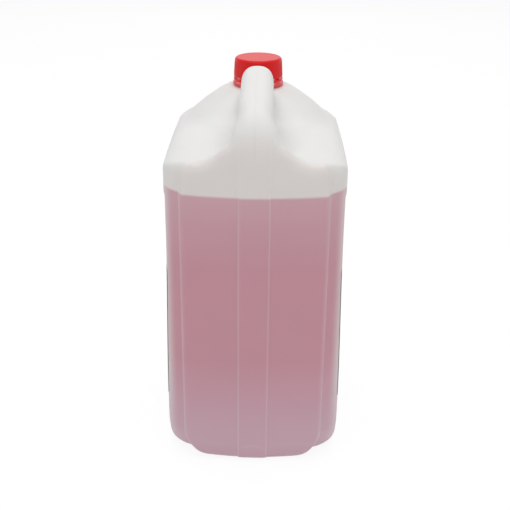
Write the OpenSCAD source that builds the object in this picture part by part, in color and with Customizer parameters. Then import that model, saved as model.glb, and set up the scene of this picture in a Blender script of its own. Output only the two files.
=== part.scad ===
// Five litre jug for a liquid cleaner: a hollow blow-moulded body with a through-handle,
// a screw cap with a foam sealing disc, the tamper ring that stays on the neck, the fill,
// and a plain label on each broad face.
// Frame: X across the broad faces, Y along the body with the handle end at -Y, Z up,
// origin on the floor below the middle of the body.

/* [Body] */
// Width between the two broad faces low down, where the body is widest
body_w = 140.5; // [125:0.5:150]
// Length from the strip on the front face to the strip on the back face
body_l = 182; // [174:1:210]
// Height of the level deck in front of the neck
deck_z = 251.5; // [220:0.5:280]
// Radius of the four upright corners
corner_r = 24; // [14:1:28]
// Height of the rounding between the faces and the deck
eave_h = 10; // [6:0.5:14]
// Width of that rounding along the front edge
eave_run = 5; // [3:0.5:6]
// Width of the flatter rounding along the long edges and the back edge
side_run = 26; // [14:0.5:26]
// Radius of the edge between the faces and the floor
base_r = 8; // [4:0.5:12]
// Thickness of the blown wall
wall = 1.4; // [1:0.1:2.5]
// How far each side draws in from low down to the top band, with the jug full
swell = 2.4; // [0:0.1:3.5]
// How far the middle of a broad face bows out past its upright corners
bow = 1; // [0:0.1:3]
// How far the band under the shoulder stands out from the sides
band_step = 0.7; // [0:0.1:1.5]
// Height of the lower edge of that band
band_z = 219; // [190:1:230]
// Height over which the upright corners round under to the foot
foot_h = 26; // [15:1:40]
// How much rounder the corners are at the foot than higher up
foot_r = 16; // [8:1:30]
// Depth of the hollow in the middle of the floor
dish_h = 2.5; // [1:0.5:5]

/* [End faces] */
// Width of the raised panel on each end face
panel_w = 108; // [90:1:112]
// How far that panel stands out from the corner columns
panel_step = 3; // [1:0.5:4]
// Radius of the panel's two lower corners
panel_foot_r = 25; // [15:1:35]
// Width of the narrow strip down the middle of the panel
strip_w = 22.5; // [16:0.5:28]
// How far that strip stands out from the panel
strip_step = 1; // [0.5:0.1:2]
// How far the middle of each end face bows out past the panel's upright edges
end_bow = 2.5; // [0:0.1:4]

/* [Shoulder] */
// Height of the flat land round the neck above the deck
roof_rise = 23; // [18:0.5:28]
// Distance in from the long edges to the foot of the roof
roof_side = 8; // [6:0.5:18]
// Distance in from the back edge to the foot of the roof
roof_back = 4.5; // [3:0.5:8]
// Distance from the neck axis forward to the foot of the roof
roof_front = 50; // [44:1:56]
// How square the foot of the roof is in plan, where 2 is an ellipse
roof_square = 4; // [2.5:0.5:6]
// Depth of the hollow in the deck below the handle
finger_dip = 3; // [0:0.5:5]

/* [Handle] */
// Width of the handle
handle_w = 25.5; // [20:0.5:30]
// Thickness of the handle from top to underside
handle_t = 21.5; // [16:0.5:24]
// Height of the top of the handle above the deck at its front end
handle_rise = 41; // [38:0.5:48]
// How much higher the handle is at its back end
handle_tilt = 4.8; // [0:0.1:6]
// Radius of the front bend, on the outside
bend_r = 37; // [30:1:44]
// Radius of the back bend, on the outside
back_bend_r = 12; // [8:1:16]
// Thickness of the front post from front to back
post_t = 24; // [18:1:28]
// Gap between the back of the handle and the skirt of the cap
cap_gap = 4; // [3:0.5:8]
// How far each flank of the front post spreads out above its root
post_flare = 4; // [1:0.5:8]
// Radius of the round between each flank of the post and the shoulder
root_r = 27.5; // [16:0.5:32]
// How far the shoulder's front edge rises along that round
root_rise = 12; // [6:1:16]

/* [Neck and closure] */
// Distance from the back end of the body to the neck axis
neck_back = 35.5; // [34:0.5:42]
// Radius of the bore of the neck
bore_r = 15.6; // [12:0.1:15.8]
// Thickness of the neck's wall
neck_t = 1.9; // [1.6:0.1:2.1]
// Height of the neck above the roof
neck_h = 19.5; // [17:0.5:22]
// Height of the tamper ring
ring_h = 6; // [5:0.5:7]
// Thickness of the tamper ring
ring_t = 1.5; // [1.2:0.1:1.8]
// How far the ring's lower edge spreads
ring_flare = 0.5; // [0:0.05:0.6]
// Gap between the tamper ring and the cap, where the bridges have snapped
slit = 0.6; // [0.4:0.1:1]
// Number of snapped bridges on the tamper ring
bridge_n = 12; // [6:1:16]
// Thickness of the cap's skirt
skirt_t = 1.4; // [1.2:0.1:2]
// Thickness of the cap's top
cap_top_t = 1.7; // [1.4:0.1:2.5]
// Radius of the edge between the cap's skirt and its top
cap_edge_r = 2.3; // [1:0.1:2.5]
// Number of fine grip ribs round the cap
rib_n = 90; // [60:1:100]
// How far the grip ribs stand out
rib_out = 0.15; // [0.1:0.05:0.3]
// Thickness of the foam sealing disc
wad_t = 1.5; // [1:0.1:2]
// Depth of the screw thread, which the plain neck and cap leave room for
thread_d = 0.95; // [0.7:0.05:1.1]
// Running clearance between the parts of the closure
clearance = 0.3; // [0.2:0.05:0.5]

/* [Contents] */
// Height of the surface of the liquid
fill_z = 229; // [80:1:235]

/* [Labels] */
// Height of the lower edge of each label
label_z = 49; // [35:1:80]
// Height of each label
label_h = 113; // [60:1:125]
// Length of each label along the body
label_l = 136; // [80:1:144]
// Thickness of each label
label_t = 0.3; // [0.2:0.05:0.5]

/* [Hidden] */
$fn = 96;
// Thin gap that keeps the fill and the labels from cutting into the wall
skin_gap = 0.1;
neck_y = body_l / 2 - neck_back;
rim_z = deck_z - eave_h;
// Distance in from the edge of the plan to the first ring of the deck behind the eave
deck_edge = 2 * eave_run;
roof_z = deck_z + roof_rise;
neck_top = roof_z + neck_h;
neck_r = bore_r + neck_t;
// Radius of the bead that holds the tamper ring, and of the thread's crest
bead_r = neck_r + thread_d;
// Inside of the cap's skirt, and the outside of the whole closure
skirt_in = bead_r + clearance;
skirt_r = skirt_in + skirt_t;
ring_z = roof_z + clearance;
ring_r = bead_r + clearance + ring_t;
cap_z = ring_z + ring_h + slit;
cap_inside = neck_top + wad_t;
cap_top = cap_inside + cap_top_t;
// Radius of the flat land round the foot of the neck
land_r = ring_r + ring_flare + 4;
// Where the round at the root of the post meets the shoulder's level edge
root_x = handle_w / 2 + post_flare + root_r;
root_z = deck_z - 2;
// Corner points on each rounding of the body's plan
arc_n = 5;
// Heights at which the sides and the labels on them change their slope
side_levels = [60, 110, 160];

// Smooth step from 0 to 1 as v goes from 0 to 1
function ease(v) = let (u = min(1, max(0, v))) u * u * (3 - 2 * u);
// Value the fraction t of the way from a to b
function lerp(a, b, t) = a + (b - a) * t;
// How far a quarter round of radius r draws in at height v above its foot
function round_in(r, v) = v >= r ? 0 : r - sqrt(r * r - (r - v) * (r - v));
// Height at distance v inside the edge of a rounding of width a and height b
function round_up(a, b, v) = v >= a ? b : b * sqrt(max(0, 1 - (1 - v / a) * (1 - v / a)));

// Half the width between the sides, at height z
function half_w(z) =
    body_w / 2 - bow - swell * ease((z - 40) / (band_z - 60))
    + band_step * ease((z - band_z) / 5) - round_in(base_r, z);
// Distance from the middle to the front of the strip, at height z
function half_l(z) = body_l / 2 - round_in(base_r, z);
// Radius of the upright corners, which grows towards the foot
function corner_at(z) = corner_r + foot_r * pow(max(0, 1 - z / foot_h), 1.5);
// Half the width of the raised panel, whose lower corners are round
function panel_half(z) = panel_w / 2 - round_in(panel_foot_r, z);

// How far an end face lies back at distance x from its middle
function end_sag(x) = end_bow * pow(2 * x / panel_w, 2);

// One quarter of the plan, from the middle of an end face to the middle of a side.
// inset draws the whole plan inwards.
function quarter(z, inset) =
    let (
        w = half_w(z) - inset,
        l = half_l(z) - inset,
        panel = l - strip_step,
        column = panel - end_bow - panel_step,
        r = max(2, corner_at(z) - inset),
        cx = w - r,
        cy = column - r,
        xs = strip_w / 2 - 0.3 * inset,
        xp = panel_half(z) - inset,
        xk = xp + 1.5,
        start = xk <= cx ? 90 : acos(min(1, (xk - cx) / r))
    )
    [
        [0, l],
        [xs - strip_step, l - end_sag(xs)],
        for (x = [xs + strip_step / 2, for (t = [0.12, 0.27, 0.45, 0.7, 1]) lerp(xs, xp - 3, t)])
            [x, panel - end_sag(x)],
        [xp - 0.9, panel - end_sag(xp) - panel_step * 0.25],
        [xp + 0.3, panel - end_sag(xp) - panel_step * 0.8],
        [xk, xk <= cx ? column : cy + r * sin(start)],
        for (i = [1:arc_n]) let (a = start * (1 - i / arc_n)) [cx + r * cos(a), cy + r * sin(a)],
        for (s = [0.7, 0.4, 0.2, 0]) [w + bow * (1 - s * s), cy * s]
    ];

// Whole plan, going round from the middle of the front face
function plan(z, inset) =
    let (
        q = quarter(z, inset),
        n = len(q)
    )
    concat(
        [for (p = q) [p[0], -p[1]]],
        [for (i = [n - 2:-1:0]) q[i]],
        [for (i = [1:n - 1]) [-q[i][0], q[i][1]]],
        [for (i = [n - 2:-1:1]) [-q[i][0], -q[i][1]]]
    );

// Depth of the finger hollow in the deck at a point of the plan
function dip_at(x, y) =
    finger_dip * ease(1.6 - abs(x) / 25) * ease((y + body_l / 2 - post_t) / 18)
    * ease((neck_y - roof_front - y) / 24);

// Rise of the round between the post and the shoulder, at distance x from the middle
function round_rise(x) =
    let (out = min(root_r, max(0, root_x - x))) root_r - sqrt(root_r * root_r - out * out);
// Half the width of that round, at height h above the shoulder's level edge
function round_half(h) =
    let (down = root_r - min(root_r, max(0, h))) root_x - sqrt(root_r * root_r - down * down);

// Rise of the shoulder's front edge into the front post of the handle
function bell_at(x, y) =
    min(root_rise, round_rise(abs(x))) * ease((-y - body_l / 2 + post_t + 5) / 20);

// Height of the deck at a point of the plan that lies edge inside its edge
function deck_at(x, y, edge, inset) =
    rim_z + min(
        round_up(eave_run, eave_h, edge),
        round_up(side_run, eave_h, half_w(rim_z) - inset - abs(x)),
        round_up(side_run, eave_h, body_l / 2 - inset - y)
    )
    + bell_at(x, y) - dip_at(x, y) - inset;

// Distance from the neck axis to the roof's contour t of the way down, in direction d
function roof_reach(d, t, inset) =
    let (
        side = half_w(rim_z) - roof_side,
        end = d[1] < 0 ? roof_front : body_l / 2 - neck_y - roof_back,
        power = lerp(2, roof_square, t)
    )
    pow(
        pow(abs(d[0]) / (lerp(land_r, side, t) - inset), power)
        + pow(abs(d[1]) / (lerp(land_r, end, t) - inset), power),
        -1 / power
    );

// Rings of the body's skin: up the walls, round the rim, over the deck and up the roof
function wall_rings(inset, levels) =
    [for (z = levels) [for (p = plan(z, inset)) [p[0], p[1], max(z, z < 1 ? inset : z)]]];
function rim_ring(inset) =
    [[for (p = plan(rim_z, inset)) [p[0], p[1], rim_z + bell_at(p[0], p[1])]]];
function edge_rings(inset, edges) =
    [for (e = edges) [for (p = plan(rim_z, inset + e)) [p[0], p[1], deck_at(p[0], p[1], e, inset)]]];
function deck_rings(inset, steps) =
    let (rim = plan(rim_z, inset + deck_edge))
    [
        for (i = [1:steps - 1]) [
            for (p = rim) let (
                far = norm([p[0], p[1] - neck_y]),
                d = [p[0], p[1] - neck_y] / far,
                at = d * lerp(far, min(far - 0.5, roof_reach(d, 1, inset)), i / steps)
            ) [at[0], at[1] + neck_y, deck_at(at[0], at[1] + neck_y, deck_edge, inset)]
        ]
    ];
function roof_rings(inset, steps) =
    let (rim = plan(rim_z, inset + deck_edge))
    [
        for (i = [0:steps]) let (t = 1 - i / steps, up = 1 - lerp(t, ease(t), 0.3)) [
            for (p = rim) let (
                far = norm([p[0], p[1] - neck_y]),
                d = [p[0], p[1] - neck_y] / far,
                at = d * min(far - 1 - i / steps, roof_reach(d, t, inset))
            ) [
                at[0],
                at[1] + neck_y,
                lerp(deck_at(at[0], at[1] + neck_y, deck_edge, inset), roof_z - inset, up)
            ]
        ]
    ];
// Rings of the floor, from its hollow middle out to the foot
function floor_rings(inset) =
    [for (f = [[0.7, dish_h], [0.78, dish_h], [0.86, 0]]) [
        for (p = plan(0, inset)) [p[0] * f[0], p[1] * f[0], f[1] + inset]
    ]];

// Closed skin through a stack of rings that all have as many points
module skin(rings) {
    n = len(rings[0]);
    m = len(rings);
    low = [0, 0, rings[0][0][2]];
    high = [0, neck_y, rings[m - 1][0][2]];
    polyhedron(
        points = concat([for (r = rings) each r], [low, high]),
        faces = concat(
            [for (k = [0:m - 2]) for (i = [0:n - 1]) let (j = (i + 1) % n, a = k * n, b = a + n) each [
                [a + i, b + i, a + j],
                [a + j, b + i, b + j]
            ]],
            [for (i = [0:n - 1]) [m * n, i, (i + 1) % n]],
            [for (i = [0:n - 1]) [m * n + 1, (m - 1) * n + (i + 1) % n, (m - 1) * n + i]]
        )
    );
}

module body_skin() {
    skin(concat(
        floor_rings(0),
        wall_rings(0, concat([0, 1.2, 3, 5.5, 8, 12, 17, 22, foot_h], side_levels, [band_z, band_z + 5])),
        rim_ring(0),
        edge_rings(0, concat([0.06, 0.24, 0.52, 1] * eave_run, [deck_edge])),
        deck_rings(0, 6),
        roof_rings(0, 6)
    ));
}

module body_cavity() {
    skin(concat(
        floor_rings(wall),
        wall_rings(wall, [0, 3, 8, 17, foot_h, 110, band_z, band_z + 5]),
        rim_ring(wall),
        edge_rings(wall, concat([0.24, 1] * eave_run, [deck_edge])),
        deck_rings(wall, 6),
        roof_rings(wall, 6)
    ));
}

// Handle: stations from the back root, over the top and down the front post.
// A station is [outer y, outer z, inner y, inner z].
handle_back = neck_y - skirt_r - cap_gap;
handle_z = deck_z + handle_rise;
front_y = -body_l / 2 + 0.3;
bend_y = front_y + bend_r;
under_z = handle_z - handle_t;
under_r = bend_r - post_t + 1;
top_n = 4;
bend_n = 7;
handle_stations = concat(
    [[handle_back - 1, roof_z - 20, handle_back - 24, deck_z - 12]],
    [for (i = [0:4]) let (a = 90 * i / 4) [
        handle_back - back_bend_r * (1 - cos(a)),
        handle_z + handle_tilt - back_bend_r * (1 - sin(a)),
        handle_back - 23 - 9 * (1 - cos(a)),
        under_z + handle_tilt / 4 - 11 * (1 - sin(a))
    ]],
    [for (i = [1:top_n - 1]) let (t = i / top_n) [
        lerp(handle_back - back_bend_r, bend_y, t),
        lerp(handle_z + handle_tilt, handle_z, t),
        lerp(handle_back - 32, bend_y, t),
        lerp(under_z + handle_tilt / 4, under_z, t)
    ]],
    [for (i = [0:bend_n]) let (a = 90 + 90 * i / bend_n) [
        bend_y + bend_r * cos(a),
        handle_z - bend_r * (1 - sin(a)),
        bend_y + under_r * cos(a),
        under_z - under_r * (1 - sin(a))
    ]],
    [for (down = [-1.5, 1, 5, 10, 17]) [
        front_y + 0.1 * (down + 4),
        deck_z - down,
        bend_y - under_r,
        deck_z - down
    ]]
);
// Half the handle's width where its outside is at height z on the front post
function post_half(z) =
    round_half(max(root_rise, z - root_z)) - post_flare * ease((z - root_z - root_r + 3) / 14);

// One cross-section: a flattened round that gets squarer as it spreads
function station_ring(s, i, n, inset) =
    let (
        outer = [s[0], s[1]],
        inner = [s[2], s[3]],
        mid = (outer + inner) / 2,
        across = (outer - inner) / 2,
        t = norm(across),
        w = (s[0] < 0 ? post_half(s[1]) : handle_w / 2 + 3 * ease((roof_z + 10 - s[1]) / 20)) - inset,
        power = 2 / (2.5 + 1.2 * ease((w - handle_w / 2) / 12))
    )
    [
        for (k = [0:n - 1]) let (
            a = 360 * k / n,
            u = sign(cos(a)) * pow(abs(cos(a)), power),
            v = sign(sin(a)) * pow(abs(sin(a)), power),
            c = mid + across * (v * (t - inset) / t)
        ) [w * u, c[0], c[1]]
    ];

module handle_sweep(n, inset) {
    rings = [for (i = [0:len(handle_stations) - 1]) station_ring(handle_stations[i], i, n, inset)];
    m = len(rings);
    polyhedron(
        points = [for (r = rings) each r],
        faces = concat(
            [for (k = [0:m - 2]) for (i = [0:n - 1]) let (j = (i + 1) % n, a = k * n, b = a + n) each [
                [a + i, b + i, a + j],
                [a + j, b + i, b + j]
            ]],
            [[for (i = [0:n - 1]) i]],
            [[for (i = [n - 1:-1:0]) (m - 1) * n + i]]
        )
    );
}

// Neck with the bead that holds the tamper ring
module neck() {
    translate([0, neck_y, 0]) rotate_extrude()
        polygon([
            [0, roof_z - 4],
            [land_r - 1.5, roof_z - 4],
            [land_r - 1.5, roof_z - 1],
            [neck_r + 0.2, roof_z],
            [neck_r, roof_z + 0.8],
            [neck_r, ring_z + ring_h - 3],
            [bead_r, ring_z + ring_h - 2.2],
            [bead_r, ring_z + ring_h - 1.4],
            [neck_r, ring_z + ring_h - 0.4],
            [neck_r, neck_top],
            [0, neck_top]
        ]);
}

module jug() {
    color([0.89, 0.88, 0.86])
    difference() {
        union() {
            body_skin();
            handle_sweep(24, 0);
            neck();
        }
        body_cavity();
        handle_sweep(16, wall);
        translate([0, neck_y, roof_z - 8]) cylinder(r = bore_r, h = neck_h + 10);
    }
}

// Ring left on the neck when the bridges snap, with the lip that catches under the bead
module tamper_ring() {
    color([0.82, 0.14, 0.16])
    translate([0, neck_y, 0]) {
        rotate_extrude()
            polygon([
                [neck_r + clearance, ring_z + 1.2],
                [neck_r + clearance, ring_z + 2],
                [ring_r - ring_t, ring_z + 3],
                [ring_r - ring_t, ring_z + ring_h],
                [ring_r, ring_z + ring_h],
                [ring_r, ring_z + 3],
                [ring_r + ring_flare, ring_z + 2.4],
                [ring_r + ring_flare, ring_z],
                [ring_r - ring_t, ring_z]
            ]);
        for (i = [0:bridge_n - 1]) rotate(360 * i / bridge_n + 15)
            translate([ring_r - ring_t / 2 - 0.3, 0, ring_z + ring_h - 0.5])
                cylinder(r = 0.4, h = 0.5 + slit / 2);
    }
}

// Screw cap with fine grip ribs and a softly rounded top edge
module cap() {
    color([0.86, 0.13, 0.15])
    translate([0, neck_y, 0]) {
        difference() {
            rotate_extrude()
                polygon(concat(
                    [[0, cap_z], [skirt_r, cap_z]],
                    [for (a = [0:15:90]) [
                        skirt_r - cap_edge_r * (1 - cos(a)),
                        cap_top - cap_edge_r * (1 - sin(a))
                    ]],
                    [[0, cap_top]]
                ));
            translate([0, 0, cap_z - 1]) cylinder(r = skirt_in, h = cap_inside - cap_z + 1);
        }
        for (i = [0:rib_n - 1]) rotate(360 * i / rib_n)
            translate([skirt_r - 0.5, 0, cap_z + 0.6])
                cylinder(r = 0.5 + rib_out - 0.05, h = cap_top - cap_z - cap_edge_r - 1.4, $fn = 16);
    }
}

// Foam disc that seals between the cap and the rim of the neck
module cap_wad() {
    color([0.93, 0.93, 0.9])
    translate([0, neck_y, neck_top + 0.02])
        cylinder(r = skirt_in - clearance, h = wad_t - 0.04);
}

// Liquid up to its level, clear of the inside of the wall
module cleaner() {
    color([0.86, 0.4, 0.48])
    skin(concat(
        floor_rings(wall + skin_gap),
        wall_rings(wall + skin_gap, [0, 3, 8, 17, foot_h, 110, min(fill_z - 5, band_z)]),
        [[for (p = plan(fill_z - 5, wall + skin_gap)) [p[0], p[1], fill_z]]]
    ));
}

// Label that follows the curve of a broad face, side is 1 for right and -1 for left
module label(side) {
    color([0.2, 0.2, 0.22])
    {
        top = label_z + label_h;
        levels = [label_z, for (z = side_levels) if (z > label_z + 1 && z < top - 1) z, top];
        rows = len(levels) - 1;
        cols = 20;
        front = [for (z = levels) for (i = [0:cols]) let (y = label_l / 2 * sin(180 * i / cols - 90))
            [y, z, side_at(y, z)]];
        n = cols + 1;
        count = len(front);
        points = concat(
            [for (p = front) [side * (p[2] + skin_gap + label_t), p[0], p[1]]],
            [for (p = front) [side * (p[2] + skin_gap), p[0], p[1]]]
        );
        sheet = [for (j = [0:rows - 1]) for (i = [0:cols - 1]) let (a = j * n + i) each [
            [a, a + n, a + 1],
            [a + 1, a + n, a + n + 1]
        ]];
        back = [for (f = sheet) [f[0] + count, f[2] + count, f[1] + count]];
        rim = concat(
            [for (i = [0:cols]) i],
            [for (j = [1:rows]) j * n + cols],
            [for (i = [cols - 1:-1:0]) rows * n + i],
            [for (j = [rows - 1:-1:1]) j * n]
        );
        band = [for (k = [0:len(rim) - 1]) let (a = rim[k], b = rim[(k + 1) % len(rim)]) each [
            [a, b, a + count],
            [b, b + count, a + count]
        ]];
        faces = concat(sheet, back, band);
        polyhedron(points = points, faces = side > 0 ? faces : [for (f = faces) [f[0], f[2], f[1]]]);
    }
}
// Distance from the middle plane to a broad face, at a place along it and a height
function side_at(y, z) =
    let (
        w = half_w(z),
        r = corner_at(z),
        cy = half_l(z) - strip_step - end_bow - panel_step - r,
        over = max(0, abs(y) - cy)
    )
    over > 0 ? w - r + sqrt(r * r - over * over) : w + bow * (1 - (y / cy) * (y / cy));

module label_left() {
    label(-1);
}
module label_right() {
    label(1);
}

jug();
tamper_ring();
cap();
cap_wad();
cleaner();
label_left();
label_right();
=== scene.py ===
"""Looks of a five litre wheel cleaner jug: a milky blow-moulded jug with a through-handle, a red
screw closure, pink liquid showing through the wall and a plain label on each broad face."""
from math import acos, atan2, copysign, cos, hypot, pi, radians, sin, sqrt

import bmesh
import bpy
from mathutils import Matrix, Vector


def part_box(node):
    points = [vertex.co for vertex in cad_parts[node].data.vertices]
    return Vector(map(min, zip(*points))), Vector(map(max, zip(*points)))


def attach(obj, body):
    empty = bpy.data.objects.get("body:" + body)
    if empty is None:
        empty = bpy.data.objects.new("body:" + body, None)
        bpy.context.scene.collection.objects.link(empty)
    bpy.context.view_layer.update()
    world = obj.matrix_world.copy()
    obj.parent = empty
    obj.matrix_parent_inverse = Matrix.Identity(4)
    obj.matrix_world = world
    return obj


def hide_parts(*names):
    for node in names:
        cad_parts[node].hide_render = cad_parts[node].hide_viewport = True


bl_info = {
    "name": "Wheel cleaner jug",
    "version": (1, 0, 0),
    "blender": (4, 5, 0),
    "location": "View3D > Sidebar > Cleaner jug",
    "description": "Builds the skin, closure, labels, liquid and stage of a wheel cleaner jug",
    "category": "Object",
}

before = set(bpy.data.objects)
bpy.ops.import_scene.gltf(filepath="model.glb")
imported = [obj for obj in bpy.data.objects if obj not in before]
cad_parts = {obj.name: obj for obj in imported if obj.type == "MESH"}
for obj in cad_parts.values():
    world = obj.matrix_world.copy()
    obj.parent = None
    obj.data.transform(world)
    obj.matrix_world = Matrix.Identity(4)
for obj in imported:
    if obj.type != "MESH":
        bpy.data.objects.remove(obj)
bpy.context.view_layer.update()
MM = 0.001

# Where the jug's material changes, in metres in the shared frame.
COLUMN_SIDE = (0.0595, 0.0695)
COLUMN_END = (0.050, 0.076)
COLUMN_FOOT = (0.010, 0.080)
# Painted shade on the upright walls above the liquid climbs higher up the front post: the depths over which it climbs,
# then the heights where it fades out.
POST_FRONT = (-0.090, -0.076)
POST_SHADE = (0.262, 0.290)
SEAM_START = (0.250, 0.258)
SEAM_WIDTH = 0.0004
# Small moulded arch at the foot of each strip, where a highlight is painted.
ARCH_CENTRE_Z, ARCH_HALF_X, ARCH_HALF_Z = 0.0105, 0.0092, 0.005
ARCH_ENDS = (0.0122, 0.0148)
LEVEL_SAG = 0.0018

# Snapped bridges between the cap and the ring, and grip ribs round the cap.
BRIDGES = 12
RIBS = 90

# Name, place, point aimed at, diameter and power of each lamp.
LAMPS = (
    ("overhead", (0.0, 0.1, 1.7), (0, 0, 0.1), 1.6, 12),
    ("front_fill", (0.0, -1.8, 0.9), (0, 0, 0.15), 1.6, 6.6),
    ("low_back", (0.0, 2.0, 1.1), (0, 0, 0.28), 1.8, 2.6),
    ("side_fill", (-1.9, -0.5, 0.6), (0, 0, 0.15), 1.6, 3.2),
    ("side_fill", (1.9, -0.5, 0.6), (0, 0, 0.15), 1.6, 3.2),
)


def length(name, description, default):
    """A size in metres that a user may change."""
    return bpy.props.FloatProperty(
        name=name, description=description, default=default, min=0, subtype="DISTANCE", unit="LENGTH", precision=4
    )


def colour(name, description, default):
    """A surface colour that a user may change."""
    return bpy.props.FloatVectorProperty(
        name=name, description=description, default=default, size=3, min=0, max=1, subtype="COLOR"
    )


def middle(node, axis):
    """Middle of a CAD node's box along an axis."""
    low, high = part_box(node)
    return (low[axis] + high[axis]) / 2


def top_of(node):
    """Highest point of a CAD node."""
    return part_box(node)[1][2]


def bottom_of(node):
    """Lowest point of a CAD node."""
    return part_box(node)[0][2]


class JugSizes(bpy.types.PropertyGroup):
    """Sizes of the jug's body, handle and neck."""

    body_width: length("Body width", "Width across the broad faces low down", 0.1405)
    body_length: length("Body length", "Length between the strips on the end faces", 0.182)
    deck_height: length("Deck height", "Height of the level deck", 0.2515)
    corner_radius: length("Corner radius", "Radius of the upright corners", 0.024)
    eave_height: length("Eave height", "Height of the rounding round the deck", 0.010)
    eave_run: length("Eave width", "Width of that rounding at the front", 0.005)
    side_run: length("Side rounding", "Width of that rounding at the sides", 0.026)
    wall: length("Wall", "Thickness of the blown wall", 0.0014)
    base_radius: length("Base radius", "Rounding between the faces and the floor", 0.008)
    swell: length("Swell", "How far each side draws in up to the band", 0.0024)
    bow: length("Bow", "How far the middle of a broad face bows out", 0.001)
    band_step: length("Band step", "How far the band under the shoulder stands out", 0.0007)
    band_height: length("Band height", "Height of that band's lower edge", 0.219)
    foot_height: length("Foot height", "Height over which the corners round under", 0.026)
    foot_radius: length("Foot radius", "How much rounder the corners are at the foot", 0.007)
    dish: length("Floor hollow", "Depth of the hollow in the floor", 0.0025)
    panel_width: length("Panel width", "Width of the raised panel on each end face", 0.108)
    panel_step: length("Panel step", "How far that panel stands out", 0.003)
    panel_foot_radius: length("Panel foot radius", "Radius of the panel's lower corners", 0.025)
    strip_width: length("Strip width", "Width of the strip down the middle of the panel", 0.0225)
    strip_step: length("Strip step", "How far that strip stands out", 0.001)
    end_bow: length("End bow", "How far the middle of an end face bows out", 0.0025)
    foot_back: length("Foot step", "How far the corner columns lie back at the foot", 0.008)
    foot_sag: length("Foot sag", "How far a panel's lower corners lie back", 0.005)
    roof_rise: length("Roof rise", "Height of the land round the neck above the deck", 0.023)
    roof_side: length("Roof side", "From a long edge to the foot of the roof", 0.008)
    roof_back: length("Roof back", "From the back edge to the foot of the roof", 0.0045)
    roof_front: length("Roof front", "From the neck forward to the foot of the roof", 0.050)
    finger_dip: length("Finger dip", "Depth of the hollow in the deck below the handle", 0.003)
    handle_width: length("Handle width", "Width of the handle", 0.0255)
    handle_depth: length("Handle depth", "Thickness of the handle from top to underside", 0.0215)
    handle_rise: length("Handle rise", "Height of the handle's top above the deck", 0.041)
    handle_tilt: length("Handle tilt", "How much higher the handle is at its back", 0.0048)
    bend_radius: length("Front bend", "Outer radius of the front bend", 0.037)
    back_bend_radius: length("Back bend", "Outer radius of the back bend", 0.012)
    post_depth: length("Post depth", "Thickness of the front post", 0.024)
    post_flare: length("Post flare", "How far each flank of the post spreads", 0.004)
    root_radius: length("Root round", "Radius between the post and the shoulder", 0.0275)
    root_rise: length("Root rise", "How far the shoulder's front edge rises along that round", 0.012)
    neck_radius: length("Neck radius", "Outside of the neck between its threads", 0.0175)
    bore_radius: length("Bore radius", "Radius of the bore", 0.0156)
    neck_height: length("Neck height", "Height of the neck above the roof", 0.0195)
    thread_depth: length("Thread depth", "How far the thread stands out", 0.00095)
    thread_pitch: length("Thread pitch", "Rise of the thread in one turn", 0.0042)
    voxel: length("Shoulder grain", "Cell size of the blend of handle and shoulder", 0.0013)


class JugColours(bpy.types.PropertyGroup):
    """Colours of the jug's materials."""

    plastic: colour("Natural plastic", "Milky plastic of the shoulder and the handle", (0.82, 0.816, 0.802))
    # Darker, warmer plastic: painted shade on the upright walls above the liquid and up the front post.
    plastic_shade: colour("Plastic with painted shade", "Milky plastic darkened and warmed as painted shade above the liquid", (0.803, 0.76, 0.734))
    liquid_floor: colour("Liquid at the floor", "Wall with liquid behind it, at the floor", (0.647, 0.411, 0.487))
    liquid_foot: colour("Liquid at the foot", "Wall with liquid behind it, at the foot", (0.646, 0.437, 0.501))
    liquid_low: colour("Liquid low down", "Wall with liquid behind it, above the foot", (0.624, 0.378, 0.457))
    liquid_mid: colour("Liquid at mid height", "Wall with liquid behind it, half way up", (0.608, 0.304, 0.362))
    liquid_high: colour("Liquid near its level", "Wall with liquid behind it, high up", (0.63, 0.35, 0.413))
    liquid_top: colour("Liquid at its level", "Wall with liquid behind it, at the surface", (0.662, 0.401, 0.45))
    closure: colour("Closure", "Red plastic of the cap and the tamper ring", (0.76, 0.006, 0.008))
    label: colour("Label", "Label stock", (0.035, 0.033, 0.037))
    liquid: colour("Liquid", "The liquid itself", (0.82, 0.20, 0.32))


def ease(v):
    """Smooth step from 0 to 1."""
    u = min(1.0, max(0.0, v))
    return u * u * (3 - 2 * u)


def lerp(a, b, t):
    """Value the fraction t of the way from a to b."""
    return a + (b - a) * t


def round_in(radius, height):
    """How far a quarter round draws in at a height above its foot."""
    if height >= radius:
        return 0.0
    return radius - sqrt(max(0.0, radius ** 2 - (radius - height) ** 2))


def round_up(width, height, distance):
    """Height at a distance inside the edge of a rounding."""
    if distance >= width:
        return height
    return height * sqrt(max(0.0, 1 - (1 - distance / width) ** 2))


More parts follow.
